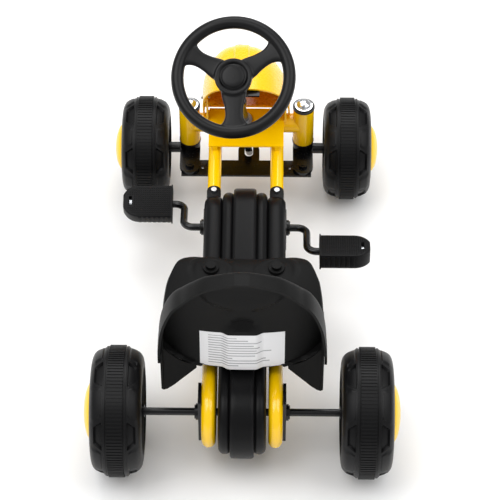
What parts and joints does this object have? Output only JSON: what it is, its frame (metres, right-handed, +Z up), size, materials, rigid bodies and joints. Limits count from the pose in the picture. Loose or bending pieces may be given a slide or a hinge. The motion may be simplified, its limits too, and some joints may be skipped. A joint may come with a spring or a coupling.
{
  "type": "pedal go kart",
  "caption": "Child's pedal go kart: bent twin-rail frame, bucket seat, steered front wheels, enclosed chain drive to the rear axle and a front fairing.",
  "frame": {"origin": "on the ground, under the centre of the bounding box", "axes": "+X to the rider's right, +Y forward, +Z up"},
  "size_m": [0.49, 0.8, 0.4951],
  "materials": {
    "yellow_enamel": "gloss powder coat on welded steel tube",
    "black_enamel": "semi-gloss black powder coat on steel",
    "black_moulding": "fine-textured injection-moulded polypropylene",
    "wheel_moulding": "satin injection-moulded plastic",
    "tyre_plastic": "satin blow-moulded polyethylene",
    "yellow_moulding": "gloss injection-moulded plastic",
    "nylon": "natural moulded nylon",
    "chrome": "bright chrome plate",
    "zinc_steel": "bright zinc-plated steel"
  },
  "bodies": {
    "frame": {"left_rail": "yellow_enamel", "right_rail": "yellow_enamel", "rail_plugs": "black_moulding", "front_beam": "yellow_enamel", "left_kingpin_tube": "yellow_enamel", "right_kingpin_tube": "yellow_enamel", "front_plate": "yellow_enamel", "cross_tube": "yellow_enamel", "crank_plates": "black_enamel", "axle_plates": "black_enamel", "kingpin_bushes": "black_moulding", "column_bush": "black_moulding", "column_bracket": "black_moulding", "shaft_bushes": "nylon", "chain": "zinc_steel", "upper_cover": "black_moulding", "lower_cover": "black_moulding", "cover_bolts": "zinc_steel", "seat": "black_moulding", "seat_bolts": "black_moulding", "fairing": "yellow_moulding", "fairing_screws": "zinc_steel"},
    "steering": {"steering_column": "black_enamel", "steering_wheel": "wheel_moulding", "steering_cap": "wheel_moulding", "steering_collar": "zinc_steel"},
    "left_knuckle": {"left_knuckle": "black_enamel", "left_kingpin": "zinc_steel", "left_kingpin_nut": "chrome", "left_wheel_nut": "zinc_steel", "left_tie_bolt": "black_enamel"},
    "right_knuckle": {"right_knuckle": "black_enamel", "right_kingpin": "zinc_steel", "right_kingpin_nut": "chrome", "right_wheel_nut": "zinc_steel", "right_tie_bolt": "black_enamel"},
    "tie_bar": {"tie_bar": "black_enamel"},
    "front_left_wheel": {"front_left_tyre": "tyre_plastic", "front_left_cap": "yellow_moulding", "front_left_bush": "nylon"},
    "front_right_wheel": {"front_right_tyre": "tyre_plastic", "front_right_cap": "yellow_moulding", "front_right_bush": "nylon"},
    "rear_axle": {"rear_axle": "black_enamel", "rear_sprocket": "zinc_steel", "axle_collars": "black_moulding", "axle_nuts": "zinc_steel", "drive_pin": "zinc_steel", "rear_left_tyre": "tyre_plastic", "rear_left_cap": "yellow_moulding"},
    "rear_right_wheel": {"rear_right_tyre": "tyre_plastic", "rear_right_cap": "yellow_moulding", "rear_right_bush": "nylon"},
    "crank": {"crank": "black_enamel", "crank_sprocket": "zinc_steel", "pedal_caps": "zinc_steel"},
    "left_pedal": {"left_pedal": "black_moulding"},
    "right_pedal": {"right_pedal": "black_moulding"}
  },
  "joints": [
    {"name": "steering_turn", "type": "hinge", "parent": "frame", "child": "steering", "pos_m": [-0.009, 0.183, 0.295], "axis": [-0.0531, -0.5159, 0.855], "range_deg": [-26, 26]},
    {"name": "left_knuckle_turn", "type": "hinge", "parent": "frame", "child": "left_knuckle", "pos_m": [-0.096, 0.2705, 0.15], "axis": [0, 0, 1], "range_deg": [-22, 22]},
    {"name": "right_knuckle_turn", "type": "hinge", "parent": "frame", "child": "right_knuckle", "pos_m": [0.096, 0.2705, 0.15], "axis": [0, 0, 1], "range_deg": [-22, 22]},
    {"name": "tie_bar_swing", "type": "hinge", "parent": "left_knuckle", "child": "tie_bar", "pos_m": [-0.096, 0.2235, 0.088], "axis": [0, 0, 1], "range_deg": [-22, 22]},
    {"name": "front_left_wheel_spin", "type": "hinge", "parent": "left_knuckle", "child": "front_left_wheel", "pos_m": [-0.1735, 0.2705, 0.087], "axis": [1, 0, 0], "continuous": true},
    {"name": "front_right_wheel_spin", "type": "hinge", "parent": "right_knuckle", "child": "front_right_wheel", "pos_m": [0.1735, 0.2705, 0.087], "axis": [1, 0, 0], "continuous": true},
    {"name": "rear_axle_spin", "type": "hinge", "parent": "frame", "child": "rear_axle", "pos_m": [0, -0.2975, 0.1025], "axis": [1, 0, 0], "continuous": true},
    {"name": "rear_right_wheel_spin", "type": "hinge", "parent": "rear_axle", "child": "rear_right_wheel", "pos_m": [0.195, -0.2975, 0.1025], "axis": [1, 0, 0], "continuous": true},
    {"name": "crank_spin", "type": "hinge", "parent": "frame", "child": "crank", "pos_m": [0, 0.0585, 0.125], "axis": [1, 0, 0], "continuous": true},
    {"name": "left_pedal_spin", "type": "hinge", "parent": "crank", "child": "left_pedal", "pos_m": [-0.163, 0.12157, 0.10927], "axis": [1, 0, 0], "continuous": true},
    {"name": "right_pedal_spin", "type": "hinge", "parent": "crank", "child": "right_pedal", "pos_m": [0.163, -0.00457, 0.14072], "axis": [1, 0, 0], "continuous": true}
  ],
  "couplings": [
    {"joint": "left_knuckle_turn", "follows": "steering_turn", "ratio": 0.80851},
    {"joint": "right_knuckle_turn", "follows": "steering_turn", "ratio": 0.80851},
    {"joint": "tie_bar_swing", "follows": "steering_turn", "ratio": -0.80851},
    {"joint": "crank_spin", "follows": "rear_axle_spin", "ratio": 0.75}
  ]
}
